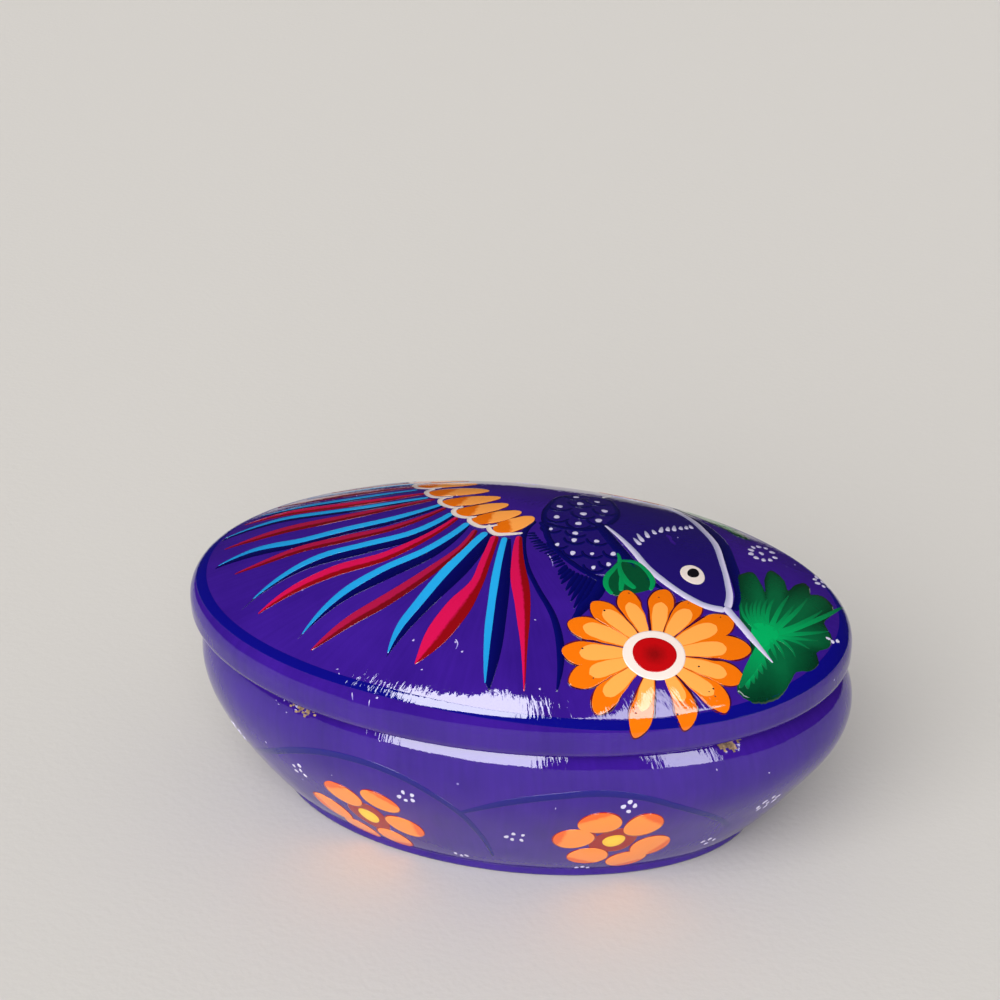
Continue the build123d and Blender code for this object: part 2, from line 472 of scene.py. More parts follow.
def varnished(tree, colour):
    """Enamel under gloss varnish: a satin coloured coat, and over it a clear one whose height ripples. The
    wide brush left ripples 0.7 mm apart and about 4 mm long down the sides, with slow sags 9 mm across
    between, so the window's light breaks up at its ends."""
    ripples = noise(tree, 1.0, 2.0, drawn_out(tree, 0.7, 4.0))
    sags = noise(tree, 110.0, 1.0, object_place(tree))
    height = raised(tree, 0.4, 0.0001, ripples)
    height = raised(tree, 0.4, 0.0004, sags, Normal=height)
    settings = {
        "Roughness": 0.45,
        "Specular IOR Level": 0.0,
        "Coat Weight": 1.0,
        "Coat Roughness": 0.03,
        "Coat IOR": 1.52,
    }
    shader = add(tree, "ShaderNodeBsdfPrincipled", settings, Base_Color=colour, Coat_Normal=height)
    add(tree, "ShaderNodeOutputMaterial", Surface=shader.outputs[0])


def violet_enamel():
    """Violet enamel under gloss varnish, laid on with a wide brush: deep violet, a little cloudy where the
    coat is thinner, with faint streaks 1.2 mm apart down the sides and specks of dust, one in about 9 mm,
    that were caught in the varnish and show pale."""
    material, tree = new_material("violet brushed enamel under gloss varnish")
    place = object_place(tree)
    clouds = noise(tree, 60.0, 3.0, place)
    streaks = noise(tree, 1.0, 3.0, drawn_out(tree, 1.2, 16.0))
    share = add(tree, "ShaderNodeMix", {0: 0.3}, i2=clouds, i3=streaks).outputs[0]
    violet = mixed(tree, spread(tree, share, 0.3, 0.7), "#2D1078", "#3A188C")
    dust = add(tree, "ShaderNodeTexVoronoi", {"Scale": 1000 / 9}, Vector=place).outputs["Distance"]
    specks = spread(tree, dust, 0.035, 0.02)
    settings = {"data_type": "RGBA", 7: linear("#8D7FC4")}
    varnished(tree, add(tree, "ShaderNodeMix", settings, i0=specks, i6=violet).outputs[2])
    return material


BRISTLE = 0.14  # how much the bristle marks push the tone


def brushed_paint(name, dark, light, edge=0.5, soft=0.12):
    """Brush-laid enamel in two shades under gloss varnish: the tone at each point, roughened by bristle
    marks 0.9 mm apart, picks the dark or the light shade, so the two meet in a slightly ragged line, at the
    given edge and as softly as given."""
    material, tree = new_material(name + " brushed enamel under gloss varnish")
    tone = add(tree, "ShaderNodeAttribute", {"attribute_name": "tone"}).outputs["Fac"]
    bristle = noise(tree, 1000 / 0.9, 2.0, object_place(tree))
    settings = {"operation": "MULTIPLY_ADD", 1: BRISTLE}
    ragged = add(tree, "ShaderNodeMath", settings, i0=bristle, i2=tone).outputs[0]
    middle = edge + BRISTLE / 2
    varnished(tree, mixed(tree, spread(tree, ragged, middle - soft, middle + soft), dark, light))
    return material


def fired_clay():
    """Low-fired brown clay, bare where the coat is chipped or worn off: dry and sandy, with lumps about
    1 mm across, darker down in the pits as painted shade and paler on the lumps."""
    material, tree = new_material("bare low-fired clay")
    sand_and_pit_shade = noise(tree, 1000 / 1.1, 4.0, object_place(tree), rough=0.7)
    # painted shade: the colour goes dark where the sand noise is low, which is where the bump sinks into
    # pits
    colour = mixed(tree, spread(tree, sand_and_pit_shade, 0.3, 0.72), "#32211A", "#B8966E")
    pits = raised(tree, 0.6, 0.0002, sand_and_pit_shade)
    shader = add(tree, "ShaderNodeBsdfPrincipled", {"Roughness": 0.85}, Base_Color=colour, Normal=pits)
    add(tree, "ShaderNodeOutputMaterial", Surface=shader.outputs[0])
    return material


# Each paint: the dark and the light shade, the tone at which they meet, and how softly they do
VIOLET = violet_enamel()
CLAY = fired_clay()
WHITE = brushed_paint("white", "#CDBFB8", "#E8DAD2", 0.3, 0.3)
THIN_WHITE = brushed_paint("thin lilac white", "#A9A9C8", "#D3CDE8", 0.45, 0.3)
NAVY = brushed_paint("navy", "#010248", "#04065C", 0.5, 0.4)
BAND_BLUE = brushed_paint("band blue", "#06056C", "#0A0880", 0.5, 0.4)
ARCH_BLUE = brushed_paint("thin blue", "#0B066E", "#120B78", 0.5, 0.4)
SKY_BLUE = brushed_paint("sky blue", "#1C8CCB", "#22A2E0", 0.35, 0.3)
CRIMSON = brushed_paint("crimson double-loaded", "#84050E", "#C80E4C", 0.42, 0.06)
DULL_CRIMSON = brushed_paint("dull crimson double-loaded", "#6C0612", "#A21240", 0.42, 0.06)
ORANGE = brushed_paint("orange double-loaded", "#E66E06", "#FFA44C", 0.5, 0.05)
CORAL = brushed_paint("coral orange double-loaded", "#F0661C", "#FF933C", 0.5, 0.06)
RED = brushed_paint("red", "#7C0608", "#B4060C", 0.5, 0.3)
YELLOW = brushed_paint("yellow", "#F4B422", "#FFD236", 0.4, 0.3)
MAROON = brushed_paint("maroon thin", "#3A0428", "#5A0A2C", 0.5, 0.4)
LEAF_GREEN = brushed_paint("deep green", "#00301C", "#046038", 0.55, 0.35)
BRIGHT_GREEN = brushed_paint("bright green dry", "#04683C", "#00A85C", 0.5, 0.45)
DEEP_VIOLET = brushed_paint("deep violet", "#1A0E60", "#231272", 0.5, 0.4)
SCUFF = brushed_paint("scuffed pale violet", "#7C6EC0", "#BDB2E0", 0.4, 0.3)
BLACK = brushed_paint("black", "#08070C", "#15131A", 0.5, 0.4)


# The two clay shells


def section(*lines):
    """Joins lines of (half length, half width, height) into one section, leaving out repeated points."""
    rows = np.concatenate([np.asarray(line, float) for line in lines])
    keep = np.concatenate([[True], np.linalg.norm(np.diff(rows, axis=0), axis=1) > 1e-4])
    return rows[keep]


def straight(start, end, count):
    """Evenly spaced points from start to end."""
    t = np.linspace(0, 1, count)[:, None]
    return (1 - t) * np.asarray(start, float) + t * np.asarray(end, float)


def oval_rings(rows, angles):
    """Each row's two half axes drawn as an oval at its height: half length times sine, half width times
    minus cosine of the angle, which starts at the middle of the front."""
    rows = rows[:, None, :]
    x = rows[..., 0] * np.sin(angles)
    y = -rows[..., 1] * np.cos(angles)
    return np.stack([x, y, rows[..., 2] + 0 * x], -1)


def round_grain(angles, along):
    """Grain on a surface of rings: round the box by the angle, and along by one value for each ring."""
    plain = np.stack([GRAIN_REACH * np.sin(angles), GRAIN_REACH * np.cos(angles), 0 * angles], -1)
    return plain + np.array([0, 0, 1]) * along[:, None, None]


def lid_shell():
    """The lid: the crown, shoulder, side and lip from the skin, then in under the rim, down and up the ring
    and over the hollow's wall and ceiling to the middle."""
    angles = np.linspace(0, 2 * np.pi, 480, endpoint=False)
    walk = np.concatenate(
        [
            np.linspace(1.2, CROWN_END, 56, endpoint=False),
            np.linspace(CROWN_END, SHOULDER_END, 15, endpoint=False),
            np.linspace(SHOULDER_END, LIP_START, 3, endpoint=False),
            np.linspace(LIP_START, LIP_END, 12),
        ]
    )[:, None]
    flat = np.zeros((len(walk), len(angles)))
    outside, outside_grain = lid_skin(walk * np.sin(angles), -walk * np.cos(angles) * NARROWING, flat)
    bore = RING_BORE[1] / RING_BORE[0]
    ceiling = np.linspace(66.5, 1.2, 22)
    ceiling_height = CROWN_CENTRE + np.sqrt(CEILING_RADIUS**2 - ceiling**2)
    rows = section(
        straight((71.2, 46.4, SEAM), (*MOUTH, SEAM), 4),
        straight((67.0, 41.0, SEAM), (*RING, 41.6), 2),
        straight((*RING, 41.0), (*RING, 39.1), 3),
        bend((*RING, 39.0), (*RING, RING_FOOT), (65.8, 39.8, RING_FOOT), 6),
        bend((64.4, 38.4, RING_FOOT), (*RING_BORE, RING_FOOT), (*RING_BORE, 39.0), 6),
        straight((*RING_BORE, 39.6), (*RING_BORE, 43.4), 4),
        straight((63.7, 63.7 * bore, 43.9), (67.9, 67.9 * bore, 47.2), 5),
        bend((68.1, 68.1 * bore, 47.4), (69.0, 69.0 * bore, 47.9), (67.6, 67.6 * bore, 48.4), 5),
        np.stack([ceiling, ceiling * bore, ceiling_height], -1),
    )
    spots = np.concatenate([outside, oval_rings(rows, angles)])
    inside_grain = round_grain(angles, LID_INNER_GRAIN + rows[:, 2] - rows[:, 0])
    grain = np.concatenate([outside_grain, inside_grain])
    return closed_grid(spots, grain, np.zeros(spots.shape[:2]))


# Chips in the rim: the middle, the reach to each side, the drop down the flank and the depth
CHIPS = (-39.0, 4.4, 4.4, 0.7), (59.4, 3.1, 4.2, 0.7)


def chip_depth(p, w):
    """How deep the coat and clay are broken away at the rim: dents with ragged ends, each falling off from
    its middle as the root of one minus the squares of the ways along and down."""
    depth = np.zeros_like(p)
    for centre, reach, drop, deepest in CHIPS:
        ragged = 1 + 0.3 * np.sin(2.6 * p + centre) + 0.2 * np.sin(4.9 * p + 5 * w)
        out = ((p - centre) / reach) ** 2 + (w / drop) ** 2
        depth = np.maximum(depth, deepest * np.clip(ragged - out, 0, 1) ** 0.5)
    return depth


def bowl_shell():
    """The bowl: the underside and foot, the flank from the skin with its chips pressed in, the rim, the
    upright mouth and the inner wall down to the floor's middle."""
    walked = np.linspace(-BELLY_LENGTH / 2, BELLY_LENGTH / 2, 620, endpoint=False)
    angles = np.interp(walked, ROUND_WALK, ROUND_ANGLE)
    foot = BOWL_ACROSS[-1] / FOOT_REACH
    edge = FOOT_REACH, FOOT_REACH * foot
    under_rows = section(
        straight((1.2, 1.2 * foot, 0.35), (48, 48 * foot, 0.35), 12),
        bend((49, 49 * foot, 0.3), (50, 50 * foot, 0.0), (51, 51 * foot, 0.0), 4),
        straight((52, 52 * foot, 0), (54.4, 54.4 * foot, 0), 3),
        bend((54.6, 54.6 * foot, 0), (*edge, 0), (*edge, 1.4), 8),
        straight((*edge, 1.6), (*edge, 2.1), 2),
    )
    under = oval_rings(under_rows, angles) + np.array([BOWL_SIDEWAYS[-1], 0, 0])
    under_grain = round_grain(angles, UNDER_GRAIN + under_rows[:, 2] + under_rows[:, 0])

    walk = np.concatenate([np.linspace(BOWL_END, 6.0, 48, endpoint=False), np.linspace(6.0, 0.0, 25)])
    p = np.interp(angles, ROUND_ANGLE, ROUND_WALK)[None, :] * np.ones((len(walk), 1))
    w = walk[:, None] * np.ones((1, len(angles)))
    flank, flank_grain = bowl_skin(p, w, -chip_depth(p, w))

    mouth_rows = section(
        straight((68.2, 43.2, SEAM), (68.1, 42.6, SEAM), 2),
        bend((68.0, 42.1, SEAM), (*MOUTH, SEAM), (*MOUTH, 41.2), 5),
        straight((*MOUTH, 40), (*MOUTH, 31.5), 6),
    )
    wall = bend((MOUTH[0], MOUTH_FOOT), (67.4, 12.6), (49.5, 5.85), 20)
    hollow = bend((49.0, 5.7), (47, 5.1), (44, FLOOR_TOP), 5)
    deep = np.concatenate([wall[1:], hollow, straight((42, FLOOR_TOP), (1.2, FLOOR_TOP), 12)])
    slim = MOUTH[1] / MOUTH[0] * (1 - FOOT_SLIMMING * (1 - deep[:, 1] / MOUTH_FOOT))
    inner_rows = section(mouth_rows, np.stack([deep[:, 0], deep[:, 0] * slim, deep[:, 1]], -1))
    inner_grain = round_grain(angles, BOWL_INNER_GRAIN + inner_rows[:, 2] - inner_rows[:, 0])

    spots = np.concatenate([under, flank, oval_rings(inner_rows, angles)])
    grain = np.concatenate([under_grain, flank_grain, inner_grain])
    return closed_grid(spots, grain, np.zeros(spots.shape[:2]))


def bare_on_lid(centres):
    """Faces where the lid's coat is worn through: the flat that rests on the bowl's rim."""
    x, y, z = centres.T
    ragged = 0.01 * np.sin(x / 2.1) * np.sin(y / 1.7)
    return (np.abs(z - SEAM) < 0.03) & (np.hypot(x / 71.0, y / 46.0) < 1 + ragged)


def bare_on_bowl(centres):
    """Faces where the bowl's coat is gone: the rim's flat, the chips on its edge and the foot's ring."""
    x, y, z = centres.T
    w = np.interp(-z, -BOWL_HEIGHT, BOWL_WALK)
    lines = BOWL_REACH, BOWL_ACROSS, BOWL_SIDEWAYS
    reach, across, aside = [np.interp(w, BOWL_WALK, line) for line in lines]
    p = np.interp(np.arctan2((x - aside) / reach, -y / across), ROUND_ANGLE, ROUND_WALK)
    outside = np.hypot(x / 69.2, y / 44.2) > 1
    chipped = (w < 5) & outside & (chip_depth(p, w) > 0.14)
    ragged = 0.004 * np.sin(p / 1.3) * np.sin(p / 4.7 + 1)
    landing = (z > SEAM - 0.04) & (np.hypot(x / 69.8, y / 45.2) < 1 + ragged)
    foot = (np.abs(z) < 0.05) & (np.hypot(x / 54.5, y / 33.2) < 1 + ragged) & (np.hypot(x, y) > 25)
    return chipped | landing | foot


lid = make_piece("lid_shell", [lid_shell()], "lid", [VIOLET, CLAY], bare_on_lid)
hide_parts("lid")
bowl = make_piece("bowl_shell", [bowl_shell()], "bowl", [VIOLET, CLAY], bare_on_bowl)
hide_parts("bowl")


# Brushwork on the lid


# Blue line round the crown: degrees from the front, the middle walked from the centre, and the half width
CROWN_LINE = np.array([
    (-180, 74.6, 1.4), (-120, 75.0, 1.5), (-80, 74.3, 1.5), (-50, 73.6, 1.3), (-30, 73.2, 1.4),
    (-12, 73.0, 1.4), (8, 74.4, 1.3), (30, 76.2, 1.3), (50, 76.6, 1.5), (65, 76.2, 1.7), (80, 75.8, 1.8),
    (100, 75.6, 1.6), (140, 74.8, 1.4), (180, 74.6, 1.4),
])


def crown_band():
    """The blue line round the crown's edge, drawn freehand: its middle and half width are eased between a
    few places, each at an angle from the front; its rows are closed underneath."""
    angles = np.linspace(-np.pi, np.pi, 480, endpoint=False)
    middle, half = through(np.radians(CROWN_LINE[:, 0]), CROWN_LINE[:, 1:], angles).T
    across = np.array([-1, -1, -0.96, -0.35, 0.35, 0.96, 1, 1])[:, None]
    proud = np.array([-SUNK, 0.03, 0.032, 0.04, 0.04, 0.032, 0.03, -SUNK])[:, None]
    height = proud * np.ones((1, len(angles)))
    walk = middle + half * across
    spots, grain = lid_skin(walk * np.sin(angles), -walk * np.cos(angles) * NARROWING, height)
    rows, around = spots.shape[:2]
    index = np.arange(rows * around).reshape(rows, around)
    down = np.roll(index, -1, axis=0)
    quads = np.stack([index, np.roll(index, -1, 1), np.roll(down, -1, 1), down], -1).reshape(-1, 4)
    no_fans = np.zeros((0, 3), int)
    return spots.reshape(-1, 3), quads, no_fans, grain.reshape(-1, 3), np.full(rows * around, 0.5)


# Feathers of the tail in blue: the light line and its widths, then the far edge of the navy it leans on
BLUE_FEATHERS = [
    ([(-1.2, -2.4), (0.2, -13.8), (1.8, -23.8), (3.2, -31.8), (5.5, -42.2)], [1.4, 1.8, 1.8, 1.7, 0.3],
     [(0.2, -2.6), (4.0, -16.8), (5.8, -26.2), (7.0, -34.8), (6.8, -43.8)]),
    ([(-5.8, -1.2), (-10.2, -14.5), (-14.0, -25.5), (-16.5, -32.2), (-17.3, -38.2)],
     [1.8, 2.4, 2.5, 2.2, 0.3],
     [(-3.9, -2.0), (-6.0, -16.2), (-10.2, -25.0), (-15.0, -34.0), (-17.4, -39.2)]),
    ([(-11.0, 2.2), (-17.0, -9.5), (-25.5, -16.8), (-32.2, -23.5), (-38.5, -34.0)],
     [1.6, 2.2, 2.2, 2.0, 0.3],
     [(-10.2, 1.0), (-14.5, -11.8), (-22.8, -19.5), (-31.5, -26.2), (-39.2, -35.2)]),
    ([(-16.0, 6.6), (-22.5, -3.2), (-32.0, -7.8), (-41.0, -11.2), (-54.0, -23.2)],
     [1.6, 2.2, 2.2, 2.0, 0.3],
     [(-14.8, 5.2), (-20.0, -5.5), (-30.8, -11.2), (-45.8, -16.8), (-56.0, -26.0)]),
    ([(-19.6, 11.6), (-28.5, 3.5), (-39.0, -1.0), (-48.2, -4.2), (-61.0, -5.5), (-68.2, -9.2)],
     [1.4, 2.2, 2.3, 2.2, 0.3],
     [(-19.0, 10.2), (-27.6, 1.0), (-38.4, -3.6), (-48.2, -6.8), (-60.0, -8.2), (-68.8, -10.2)]),
    ([(-24.6, 15.6), (-37.0, 10.8), (-48.0, 9.2), (-60.4, 8.4), (-72.0, 4.2)], [1.2, 2.0, 2.0, 1.8, 0.3],
     [(-24.2, 14.6), (-36.6, 8.6), (-47.6, 7.0), (-60.0, 6.2), (-72.4, 3.0)]),
    ([(-29.5, 22.4), (-41.6, 18.2), (-52.7, 16.4), (-67.0, 15.2)], [1.1, 1.8, 1.8, 0.3],
     [(-29.2, 21.4), (-41.2, 16.2), (-52.4, 14.4), (-67.2, 14.0)]),
    ([(-33.0, 30.0), (-44.0, 27.4), (-59.0, 26.0)], [1.0, 1.6, 0.3],
     [(-32.8, 29.0), (-43.6, 25.6), (-59.0, 25.0)]),
    ([(-35.0, 37.2), (-42.0, 37.2), (-48.0, 38.2)], [1.0, 1.5, 0.3],
     [(-35.0, 36.2), (-41.8, 35.6), (-48.2, 37.2)]),
]
# Feathers in crimson, bright and dull: the line and its widths
RED_FEATHERS = [
    ([(1.7, -1.2), (4.7, -12.8), (8.0, -21.4), (10.6, -29.7), (12.5, -36.4), (14.1, -42.4)],
     [1.3, 2.8, 3.7, 2.8, 1.3, 0.3]),
    ([(-3.4, -2.2), (-3.0, -11.5), (-3.0, -18.5), (-4.9, -25.4), (-7.0, -31.3), (-10.6, -40.2)],
     [1.7, 2.4, 3.0, 5.5, 5.2, 0.3]),
    ([(-14.2, 4.4), (-18.5, -4.8), (-25.2, -11.8), (-36.5, -16.9), (-45.0, -22.0), (-51.2, -27.8)],
     [1.4, 2.4, 3.2, 3.7, 3.0, 0.3]),
    ([(-26.4, 18.8), (-37.5, 14.2), (-48.5, 12.6), (-60.0, 12.2), (-69.4, 10.6)],
     [1.3, 3.2, 3.7, 3.2, 0.3]),
]
DULL_FEATHERS = [
    ([(-8.4, -0.6), (-9.2, -6.8), (-13.2, -15.2), (-21.1, -25.0), (-29.2, -32.0), (-35.2, -38.0)],
     [1.3, 2.0, 2.9, 3.3, 2.9, 0.3]),
    ([(-18.4, 9.2), (-27.0, -0.8), (-37.5, -5.2), (-48.8, -8.4), (-55.2, -11.0), (-62.2, -13.8)],
     [1.3, 2.2, 2.8, 3.0, 2.4, 0.3]),
    ([(-22.6, 14.4), (-35.2, 7.2), (-45.2, 3.9), (-56.0, 1.6), (-69.4, -2.2)],
     [1.3, 2.8, 3.4, 3.2, 0.3]),
    ([(-31.0, 25.6), (-43.0, 22.6), (-55.0, 21.2), (-65.0, 21.0)], [1.3, 3.0, 3.2, 0.3]),
    ([(-34.4, 34.0), (-43.0, 32.2), (-55.0, 31.4)], [1.2, 2.8, 0.3]),
]
SHARES = (1 - np.cos(np.pi * np.linspace(0, 1, 34))) / 2
shades, lights = [], []
for line, widths, edge in BLUE_FEATHERS:
    shades.append(ribbon(lid_skin, smooth_line(edge, SHARES), smooth_line(line, SHARES), *UNDERCOAT))
    lights.append(stroke(lid_skin, line, np.array(widths) * 0.9, bead=0.02, tone=pale_root, steps=36))
bright = [stroke(lid_skin, *feather, bead=0.03, steps=40, across=9) for feather in RED_FEATHERS]
dull = [stroke(lid_skin, *feather, bead=0.03, steps=40, across=9) for feather in DULL_FEATHERS]
make_piece("feathers_navy", shades, "lid", [NAVY])
make_piece("feathers_sky", lights, "lid", [SKY_BLUE])
make_piece("feathers_crimson", bright, "lid", [CRIMSON])
make_piece("feathers_dull_crimson", dull, "lid", [DULL_CRIMSON])
make_piece("crown_band", [crown_band()], "lid", [BAND_BLUE])

# Petals at the tail's root, outer end to inner end, and the scalloped white edging round their outer ends
ROOT_PETALS = [
    ([(-4.4, -0.2), (-0.8, 3.3), (2.2, 8.2)], 5.2),
    ([(-10.3, 2.8), (-5.6, 6.0), (-1.0, 10.0)], 4.9),
    ([(-15.4, 6.2), (-10.2, 9.3), (-5.0, 13.6)], 4.9),
    ([(-20.4, 11.6), (-14.4, 14.0), (-8.0, 17.7)], 5.4),
    ([(-25.8, 18.6), (-18.8, 20.5), (-12.0, 22.4)], 6.2),
    ([(-31.2, 26.0), (-24.0, 28.2), (-17.2, 30.0)], 6.6),
    ([(-34.6, 34.6), (-27.8, 36.2), (-21.6, 37.2)], 6.2),
]


def root_petal_tone(t, q):
    """Dark at the outer end, light towards the root, and a little lighter on the right."""
    return 0.05 + 1.15 * t - 0.15 * q


petals, outlines = [], []
for line, width in ROOT_PETALS:
    widths = np.array([0.7, 1.0, 0.92, 0.35]) * width
    outlines.append(stroke(lid_skin, line, widths + 0.8, *UNDERCOAT, steps=26, across=9))
    petals.append(stroke(lid_skin, line, widths, *COAT, root_petal_tone, steps=26, across=9))
make_piece("root_petal_outlines", outlines, "lid", [MAROON])
make_piece("root_petals", petals, "lid", [ORANGE])
SCALLOPS = [
    [(2.1, 0.2), (-1.0, -1.0), (-3.5, -1.5), (-5.0, -0.5), (-5.8, 0.8), (-6.0, 2.0)],
    [(-4.2, 2.3), (-5.5, 1.5), (-7.5, 0.9), (-9.5, 1.8), (-11.0, 3.3), (-11.2, 4.8)],
    [(-9.9, 5.4), (-11.2, 4.8), (-13.5, 4.9), (-15.4, 6.3), (-16.0, 7.8), (-15.6, 9.4)],
    [(-14.4, 10.0), (-16.2, 9.5), (-18.8, 10.4), (-20.7, 12.4), (-21.1, 14.2), (-20.2, 16.0)],
    [(-18.8, 16.4), (-20.5, 15.8), (-23.2, 15.9), (-25.7, 18.3), (-26.5, 20.6), (-25.4, 23.0)],
    [(-24.2, 24.6), (-26.5, 23.7), (-29.4, 24.2), (-31.6, 26.6), (-32.2, 29.2), (-31.0, 31.4)],
    [(-29.6, 32.8), (-31.6, 31.9), (-34.0, 32.6), (-35.6, 35.0), (-35.8, 37.6)],
]
edging = [stroke(lid_skin, line, [0.5, 0.9, 1.1, 1.2, 0.9], *RAISED_COAT) for line in SCALLOPS]
make_piece("scalloped_edging", edging, "lid", [WHITE])

# Daisy: where the light heart of each petal ends, and the petal's tip
DAISY = np.array([38.4, -26.9])
DAISY_PETALS = [
    ((52.4, -18.9), (57.4, -16.8)), ((54.0, -25.4), (57.8, -25.0)), ((52.6, -31.2), (56.2, -33.7)),
    ((47.2, -35.4), (49.2, -40.0)), ((39.2, -40.0), (39.4, -44.8)), ((31.2, -39.0), (30.3, -43.4)),
    ((26.0, -36.0), (22.9, -38.6)), ((22.9, -31.4), (19.4, -31.4)), ((22.6, -25.0), (18.9, -24.9)),
    ((25.2, -19.6), (22.4, -18.0)), ((29.9, -15.6), (28.8, -12.0)), ((36.4, -13.2), (36.6, -8.4)),
    ((42.4, -12.4), (44.2, -9.0)), ((48.6, -14.4), (51.6, -10.2)),
]
petals, outlines = [], []
for heart, tip in np.array(DAISY_PETALS):
    root = DAISY + (heart - DAISY) * 0.3
    widths = np.array([1.5, 3.1, 4.4, 5.2, 2.0]) * np.linalg.norm(tip - DAISY) / 18.5
    end = np.linalg.norm(heart - root) / np.linalg.norm(tip - root) + hand.uniform(-0.05, 0.02)

    def heart_tone(t, q, end=end):
        """Light paint in a long heart with a rounded end, at the given share of the petal's length; the
        heart's half width falls off as the root of one minus the fourth power of the way along it."""
        half = 0.86 * np.sqrt(np.clip(1 - (t / end) ** 4, 0, 1))
        return 0.57 + 2.5 * (half - np.abs(q + 0.05)) - 4 * np.clip(t / end - 1, 0, 1)

    line = [root, (root * 0.45 + heart * 0.55) + hand.uniform(-0.15, 0.15, 2), heart, tip]
    longer = [root, heart, tip + (tip - heart) * 0.06]
    outlines.append(stroke(lid_skin, longer, widths + 0.7, *UNDERCOAT, across=9))
    petals.append(stroke(lid_skin, line, widths, *COAT, heart_tone, steps=40, across=15))
make_piece("daisy_outlines", outlines, "lid", [MAROON])
make_piece("daisy_petals", petals, "lid", [ORANGE])
ring = dab(lid_skin, DAISY, (6.8, 5.9), 20, lift=0.09, tone=0.8, around=56, uneven=0.012, rings=8)
make_piece("daisy_ring", [ring], "lid", [WHITE])
settings = {"lift": 0.12, "tone": lambda s, a: 0.2 + 0.9 * s, "around": 48, "uneven": 0.02, "rings": 7}
middle = dab(lid_skin, DAISY, (4.8, 4.1), 20, **settings)
make_piece("daisy_middle", [middle], "lid", [RED])
SPECKS = [
    (25.5, -19.5), (29.2, -12.8), (35.5, -11.5), (49.2, -11.2), (41.8, -10.5), (52.2, -30.0), (51.5, -31.0),
    (53.0, -31.5), (27.5, -36.2), (23.5, -30.2), (38.0, -40.8), (37.2, -39.8), (46.5, -38.2), (48.0, -26.2),
]
specks = []
for spot in SPECKS:
    radii = hand.uniform(0.12, 0.26, 2)
    specks.append(dab(lid_skin, spot, radii, 0, *RAISED_COAT, tone=0.2, around=8, uneven=0.1, rings=2))
make_piece("daisy_specks", specks, "lid", [BLACK])


def closed_line(points, count=90):
    """The smooth line through the points and back to the first, as so many places."""
    return smooth_line([*points, points[0]], np.linspace(0, 1, count, endpoint=False))


# Bird: the dark ground inside the head and neck, then the outline, eye, beak and cheek marks
HEAD_EDGE = [
    (18.2, 10.5), (22.5, 6.5), (26.5, 2.2), (31.2, -3.0), (36.0, -6.2), (41.0, -8.5), (45.0, -9.4),
    (49.6, -8.4), (49.9, -5.5), (48.2, 1.0), (45.2, 9.2), (42.0, 17.5), (38.2, 23.8), (34.0, 30.2),
    (28.6, 35.4), (21.6, 38.2), (15.2, 37.4), (12.4, 33.0), (14.0, 27.0), (17.6, 19.0),
]
NECK_EDGE = [
    (5.6, 5.6), (4.2, 10.0), (3.6, 17.0), (4.6, 25.0), (8.2, 29.6), (13.0, 30.6), (16.8, 25.0),
    (19.4, 16.6), (19.4, 10.2), (24.4, 1.6), (30.6, -4.6), (25.0, -8.6), (20.4, -9.8), (14.6, -6.6),
    (9.4, -1.6),
]
grounds = [
    patch(lid_skin, (33.0, 12.0), closed_line(HEAD_EDGE), lift=0.02, bead=0.0, rings=16),
    patch(lid_skin, (12.0, 7.0), closed_line(NECK_EDGE), lift=0.02, bead=0.0, rings=14),
]
make_piece("bird_ground", grounds, "lid", [DEEP_VIOLET])
OVER_HEAD = [(49.9, -7.6), (49.6, -3.6), *HEAD_EDGE[9:16], (13.2, 38.4)]
BEAK = [(49.4, -7.6), (55.0, -12.2), (58.8, -15.2), (62.6, -17.8)]
head = [
    stroke(lid_skin, HEAD_EDGE[:8], [0.6, 1.2, 1.5, 1.6, 1.7, 1.8], *RAISED_COAT, steps=48),
    stroke(lid_skin, OVER_HEAD, [1.8, 1.4, 1.4, 1.5, 1.6, 1.7, 1.5, 0.8], *RAISED_COAT, steps=60),
    stroke(lid_skin, BEAK, [1.9, 1.7, 1.4, 0.3], lift=0.1, bead=0.03),
]
make_piece("head_outline", head, "lid", [THIN_WHITE])
eye_white = dab(lid_skin, (40.5, -0.2), (2.7, 3.5), 12, *THICK_COAT, tone=0.8)
make_piece("eye_white", [eye_white], "lid", [WHITE])
eye_black = dab(lid_skin, (40.5, 0.3), (1.25, 1.85), lift=0.12, bead=0.03)
make_piece("eye_black", [eye_black], "lid", [BLACK])
CHEEK_TICKS = [
    ((27.4, 5.4), (25.3, 7.8)), ((27.6, 7.2), (25.5, 10.4)), ((28.2, 9.8), (26.8, 12.8)),
    ((29.2, 12.6), (28.1, 14.6)), ((30.0, 14.4), (29.6, 17.8)), ((31.2, 16.4), (30.8, 19.0)),
    ((32.5, 17.5), (31.8, 21.0)), ((33.6, 19.6), (33.2, 21.8)), ((34.6, 21.2), (34.2, 23.4)),
    ((35.6, 22.8), (34.6, 25.0)),
]
ticks = short_strokes(CHEEK_TICKS, [1.0, 0.9, 0.3], lift=0.07, bead=0.03, steps=12)
make_piece("cheek_ticks", ticks, "lid", [THIN_WHITE])

